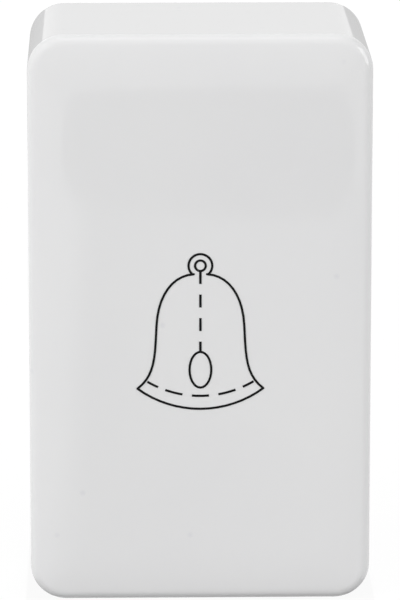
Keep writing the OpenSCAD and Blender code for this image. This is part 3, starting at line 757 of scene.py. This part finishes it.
coilTree = makeCoilTree()
spring = {"radius": 2.05, "wire": 0.25, "foot": 3.05, "length": 10.9, "turns": 8.0, "endTurns": 1.0,
          "closeRise": 0.51, "steps": 241, "x": 12.15, "z": -20.0, "floor": 3.0, "pressed": 0.843}
for side, name, node in ((-1, "returnSpringLeft", "return_spring_left"),
                         (1, "returnSpringRight", "return_spring_right")):
    coil = grow(name, coilTree, {
        "Coil radius": spring["radius"] * mm, "Wire radius": spring["wire"] * mm,
        "Length": spring["length"] * mm, "Turns": spring["turns"], "End turns": spring["endTurns"],
        "Close rise": spring["closeRise"] * mm, "Steps": spring["steps"],
        "Place": (side * spring["x"] * mm, -spring["foot"] * mm, spring["z"] * mm),
        "Material": finish["drawnSteel"]})
    dress(coil, finish["drawnSteel"], "base", "steel", node)
    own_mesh(coil)
print("return springs wound")


def makePairTree():
    # two shapes, alike or of two lengths, each set at its own place
    sockets = [("First shape", "Object"), ("Second shape", "Object"), ("First place", "Vector"),
               ("Second place", "Vector"), ("Material", "Material")]
    tree, given = startTree("pair", sockets)
    both = addNode(tree, "GeometryNodeJoinGeometry")
    for which in ("First", "Second"):
        shape = addNode(tree, "GeometryNodeObjectInfo", {"Object": given[which + " shape"]})
        spot = addNode(tree, "GeometryNodeMeshLine", {"Count": 1, "Start Location": given[which + " place"]})
        copies = {"Points": spot.outputs[0], "Instance": shape.outputs["Geometry"]}
        placed = addNode(tree, "GeometryNodeInstanceOnPoints", copies)
        tree.links.new(placed.outputs[0], both.inputs[0])
    endTree(tree, both.outputs[0], given["Material"])
    return tree


pairTree = makePairTree()


def setOut(name, shapes, places, look, slot, node):
    pair = grow(name, pairTree, {
        "First shape": shapes[0], "Second shape": shapes[-1], "Material": finish[look],
        "First place": [p * mm for p in places[0]], "Second place": [p * mm for p in places[1]]})
    for shape in shapes:
        bpy.data.objects.remove(shape)
    return dress(pair, finish[look], "base", slot, node)


def squareRing(name, half, corner, hole, thick, edge):
    # a square plate with a round hole, all its edges broken, its underside at height 0
    def outer(inset, out):
        return [(x, -out, z) for x, z in roundedLoop(half - inset, half - inset, corner)]

    def inner(inset, out):
        turns = [math.atan2(z, x) for x, z in roundedLoop(half, half, corner)]
        return [((hole + inset) * math.cos(t), -out, (hole + inset) * math.sin(t)) for t in turns]

    loops = [outer(0, edge), outer(0, thick - edge), outer(edge, thick), inner(edge, thick),
             inner(0, thick - edge), inner(0, edge), inner(edge, 0), outer(edge, 0)]
    faces = skin(len(loops), len(loops[0]), closed=True)
    mesh = meshFrom(name, [p for loop in loops for p in loop], faces)
    smooth(mesh)
    return addObject(name, mesh)


# square nuts in the tray, clamp washers under the screw heads
terminal = {"x": 6.5, "z": 3.5, "corner": 0.35, "edge": 0.1}
nuts = {"half": 2.75, "hole": 1.52, "thick": 2.4, "out": (3.2, 7.18)}
washers = {"half": 3.0, "hole": 1.65, "thick": 0.8, "out": (6.4, 9.88)}
for name, node, size, look, slot in (("squareNuts", "terminal_nuts", nuts, "zincPlate", "zinc_plated_steel"),
                                     ("clampWashers", "clamp_washers", washers, "rolledBrass", "brass")):
    shape = squareRing(name + "Shape", size["half"], terminal["corner"], size["hole"], size["thick"],
                       terminal["edge"])
    places = [(side * terminal["x"], -out, terminal["z"]) for side, out in zip((-1, 1), size["out"])]
    setOut(name, [shape], places, look, slot, node)

# rivets: flat factory head in the back pocket, shank, dished head set over the metal
rivets = {"places": [(0, -0.9, 4.5), (-7.6, -0.9, -6.0)], "lengths": (8.98, 5.5),
          "head": 1.8, "headThick": 0.5, "shank": 1.0, "set": 1.6, "setThick": 0.5, "setRound": 0.3,
          "edge": 0.15, "dish": 0.6, "steps": 32}


def rivetProfile(length, look):
    top = length + look["setThick"]
    head, edge, shank, bend, dish = (look[k] for k in ("head", "edge", "shank", "setRound", "dish"))
    foot = [(0, 0), (head - edge, 0), (head, edge), (head, look["headThick"]), (shank, look["headThick"])]
    crown = [(shank, length), (look["set"], length)] + rounded(look["set"] - bend, top - bend, bend, 0, 90)
    return foot + crown + [(dish, top), (dish - edge, top - edge), (0, top - edge)]


rivetShapes = [addTurned("rivetShape", rivetProfile(length, rivets), steps=rivets["steps"])
               for length in rivets["lengths"]]
setOut("contactRivets", rivetShapes, rivets["places"], "rolledBrass", "brass", "contact_rivets")

# terminal screws: slotted heads, a core and a wound thread
screws = {"head": 2.8, "headThick": 1.8, "headEdge": 0.1, "crown": 0.5, "crownTurn": 75,
          "crownParts": 3,    # radius of the head over that of its flat middle
          "core": 1.34, "point": 0.3, "thread": 0.16, "pitch": 0.5, "stepsPerTurn": 20,
          "slotWide": 0.8, "slotDeep": 0.9, "slotBeyond": 1,
          "lengths": (4.5, 4.0), "places": [(-6.5, -2.7, 3.5), (6.5, -6.68, 3.5)]}


def screwProfile(length, look):
    core, point, head, edge, crown = (look[k] for k in ("core", "point", "head", "headEdge", "crown"))
    top = length + look["headThick"]
    shank = [(0, 0), (core - point, 0), (core, point), (core, length)]
    side = [(head - edge, length), (head, length + edge), (head, top - crown)]
    corner = rounded(head - crown, top - crown, crown, 0, look["crownTurn"])
    return shank + side + corner + [(head / look["crownParts"], top), (0, top)]


def screwShape(length, look):
    body = addTurned("screwShape", screwProfile(length, look))
    top = length + look["headThick"]
    far, wide = look["head"] + look["slotBeyond"], look["slotWide"] / 2
    corners = ((-far, -wide), (far, -wide), (far, wide), (-far, wide))
    block = [(x, -out, z) for out in (top - look["slotDeep"], top + look["slotBeyond"]) for x, z in corners]
    sides = [(0, 1, 2, 3), (4, 5, 6, 7)] + [(i, (i + 1) % 4, (i + 1) % 4 + 4, i + 4) for i in range(4)]
    cutter = addObject("slotCutter", meshFrom("slotCutter", block, sides))
    combine(body, cutter, "DIFFERENCE")
    threaded = length - look["point"]
    turns = threaded / look["pitch"]
    ridge = grow("thread", coilTree, {
        "Coil radius": look["core"] * mm, "Wire radius": look["thread"] * mm, "Length": threaded * mm,
        "Turns": turns, "End turns": 0.0, "Close rise": 0.0, "Steps": int(turns * look["stepsPerTurn"]),
        "Place": (0, -look["point"] / 2 * mm, 0), "Material": finish["zincPlate"]})
    combine(body, ridge, "UNION")
    smooth(body.data)
    return body


screwShapes = [screwShape(length, screws) for length in screws["lengths"]]
setOut("terminalScrews", screwShapes, screws["places"], "zincPlate", "zinc_plated_steel", "terminal_screws")
print("nuts, washers, rivets and screws set out")


# camera

shot = {"azimuth": -1.153, "elevation": 12.986, "distanceMm": 546.66, "aimUpMm": 2.583, "aimRightMm": -0.047,
        "lens": 281.45, "sensor": 36, "clip": (0.01, 20)}


def makeCamera(look):
    a, e = math.radians(look["azimuth"]), math.radians(look["elevation"])
    back = Vector((math.sin(a) * math.cos(e), -math.cos(a) * math.cos(e), math.sin(e)))
    front = Vector((0, -cap["depth"] * mm, 0))
    right = Vector((math.cos(a), math.sin(a), 0))
    up = back.cross(right)
    spot = front + back * look["distanceMm"] * mm
    aim = front + (up * look["aimUpMm"] + right * look["aimRightMm"]) * mm
    data = bpy.data.cameras.new("camera")
    data.lens, data.sensor_width = look["lens"], look["sensor"]
    data.clip_start, data.clip_end = look["clip"]
    camera = addObject("camera", data)
    camera.location = spot
    camera.rotation_euler = (aim - spot).to_track_quat("-Z", "Y").to_euler()
    scene.camera = camera


makeCamera(shot)


# stage: surround, floor, cards and a mat, in mm, and lamps, in metres and watts

stage = {"ambient": 0.475, "floorHalf": 4000, "floorDrop": 0.05, "floorGrey": 0.45, "floorWhite": 0.94,
         "floorLit": 0.075,
         "cardGrey": 0.59, "cardHalf": 200, "cardTops": (41, 53), "cardBehind": 250,
         "discGrey": 0.3, "discSpot": (21, 305), "discRadii": (66, 81), "discSteps": 48, "discLift": 0.5,
         "sheetGrey": 0.5, "sheetHalf": 120, "sheetOut": 255, "sheetLift": 0.3,
         "sheetSides": ((-12, -25, 0.73), (-22, 19, 0.35)),
         "glowLevel": 1.6, "glowHalf": 250, "glowLow": (400, 205), "glowHigh": (100, 500),
         "footGrey": 0.4, "footOut": 1.5, "footLift": 0.5,
         "matColour": "#a0a0a0", "matOut": 0.6, "matLift": 0.02}
lamps = {"top": {"spot": (0.05, -0.15, 0.8), "power": 0.52, "size": 0.42, "shines": True},
         "key": {"spot": (-0.62, -0.4, 0.2), "power": 3.71, "size": 0.6, "shines": False},
         "fill": {"spot": (0.8, -0.5, 0.3), "power": 3.45, "size": 0.6, "shines": True},
         "back": {"spot": (0.1, 0.8, 0.13), "power": 2.3, "size": 0.2, "shines": False}}
white = (1, 1, 1, 1)
floorZ = -cap["halfHeight"] - stage["floorDrop"]


def seenRays(tree):
    # one where a ray comes from the camera, a gloss or a see-through surface
    path = addNode(tree, "ShaderNodeLightPath").outputs
    direct = addMath(tree, "MAXIMUM", path["Is Camera Ray"], path["Is Glossy Ray"])
    return addMath(tree, "MAXIMUM", direct, path["Is Transmission Ray"])


def makeSurround(look):
    world = bpy.data.worlds.new("studio")
    world.use_nodes = True
    scene.world = world
    tree = world.node_tree
    tree.nodes.clear()
    level = addRange(tree, seenRays(tree), target=(look["ambient"], 1))
    sky = addNode(tree, "ShaderNodeBackground", {"Color": white, "Strength": level})
    addNode(tree, "ShaderNodeOutputWorld", {"Surface": sky.outputs["Background"]})


def levelPatch(half, front, back, z):
    return [(-half, front, z), (half, front, z), (half, back, z), (-half, back, z)]


def addSheet(name, points, material):
    sheet = addObject(name, meshFrom(name, points, [tuple(range(len(points)))]))
    sheet.data.materials.append(material)
    return sheet


def makeFloor(look):
    # a floor that is seen white, with faint shadows, but is grey to bounced light
    paint, tree = bareMaterial("paleFloor")
    seen = seenRays(tree)
    tone = addRange(tree, seen, target=(look["floorGrey"], look["floorLit"]))
    lit = addNode(tree, "ShaderNodeBsdfDiffuse", {"Color": tone})
    level = addMath(tree, "MULTIPLY", seen, look["floorWhite"])
    shown = addNode(tree, "ShaderNodeEmission", {"Color": white, "Strength": level})
    both = addNode(tree, "ShaderNodeAddShader", {0: lit.outputs[0], 1: shown.outputs[0]})
    addNode(tree, "ShaderNodeOutputMaterial", {"Surface": both.outputs[0]})
    half = look["floorHalf"]
    addSheet("floor", levelPatch(half, -half, half, floorZ), paint)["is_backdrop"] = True


def addCard(name, points, grey, sides=()):
    # a studio card that only the gloss of the object sees
    # each side says where the card starts to get brighter, where that ends and by how much
    paper, tree = bareMaterial(name)
    place = addNode(tree, "ShaderNodeTexCoord").outputs["Object"]
    across = addNode(tree, "ShaderNodeSeparateXYZ", {0: place}).outputs["X"]
    level = grey
    for start, end, rise in sides:
        step = addRange(tree, across, (start * mm, end * mm), (0, rise), interpolation_type="SMOOTHSTEP")
        level = addMath(tree, "ADD", level, step)
    shade = addNode(tree, "ShaderNodeEmission", {"Color": white, "Strength": level})
    addNode(tree, "ShaderNodeOutputMaterial", {"Surface": shade.outputs[0]})
    sheet = addSheet(name, points, paper)
    sheet.visible_camera = sheet.visible_diffuse = sheet.visible_shadow = sheet.visible_transmission = False
    sheet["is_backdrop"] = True


def makeCards(look):
    front = -cap["depth"]
    wide, y, (leftTop, rightTop) = look["cardHalf"], look["cardBehind"], look["cardTops"]
    upright = [(-wide, y, floorZ), (wide, y, floorZ), (wide, y, rightTop), (-wide, y, leftTop)]
    addCard("cardBehind", upright, look["cardGrey"])

    (across, along), (x, out), z = look["discRadii"], look["discSpot"], floorZ + look["discLift"]
    turns = [2 * math.pi * i / look["discSteps"] for i in range(look["discSteps"])]
    disc = [(x + across * math.cos(t), along * math.sin(t) + front - out, z) for t in turns]
    addCard("discBefore", disc, look["discGrey"])

    sheet = levelPatch(look["sheetHalf"], front - look["sheetOut"], front, floorZ + look["sheetLift"])
    addCard("sheetBefore", sheet, look["sheetGrey"], look["sheetSides"])

    wide, (lowY, lowZ), (highY, highZ) = look["glowHalf"], look["glowLow"], look["glowHigh"]
    slanted = [(-wide, lowY, lowZ), (wide, lowY, lowZ), (wide, highY, highZ), (-wide, highY, highZ)]
    addCard("glowAbove", slanted, look["glowLevel"])

    out = look["footOut"]
    addCard("shadeBefore", levelPatch(cap["halfWidth"] + out, front - out, 0, floorZ + look["footLift"]),
            look["footGrey"])


def makeMat(look):
    # a grey mat under the foot, seen only by bounced light, that shades the lowest edge
    felt, tree = bareMaterial("footFelt")
    matt = addNode(tree, "ShaderNodeBsdfDiffuse", {"Color": hexColour(look["matColour"])})
    addNode(tree, "ShaderNodeOutputMaterial", {"Surface": matt.outputs[0]})
    out = look["matOut"]
    patch = levelPatch(cap["halfWidth"] + out, -cap["depth"] - out, 0, floorZ + look["matLift"])
    mat = addSheet("footMat", patch, felt)
    mat.visible_camera = mat.visible_glossy = mat.visible_shadow = mat.visible_transmission = False
    mat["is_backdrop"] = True


def addSoftbox(name, look):
    data = bpy.data.lights.new(name, "AREA")
    data.shape, data.size, data.energy = "SQUARE", look["size"], look["power"]
    lamp = addObject(name, data)
    lamp.location = look["spot"]
    lamp.rotation_euler = (-Vector(look["spot"])).to_track_quat("-Z", "Y").to_euler()
    lamp.visible_glossy = look["shines"]


makeSurround(stage)
makeFloor(stage)
makeCards(stage)
makeMat(stage)
for name, look in lamps.items():
    addSoftbox(name + "Softbox", look)
scene.view_settings.view_transform = "Standard"
print("camera, floor and light set")

low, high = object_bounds()
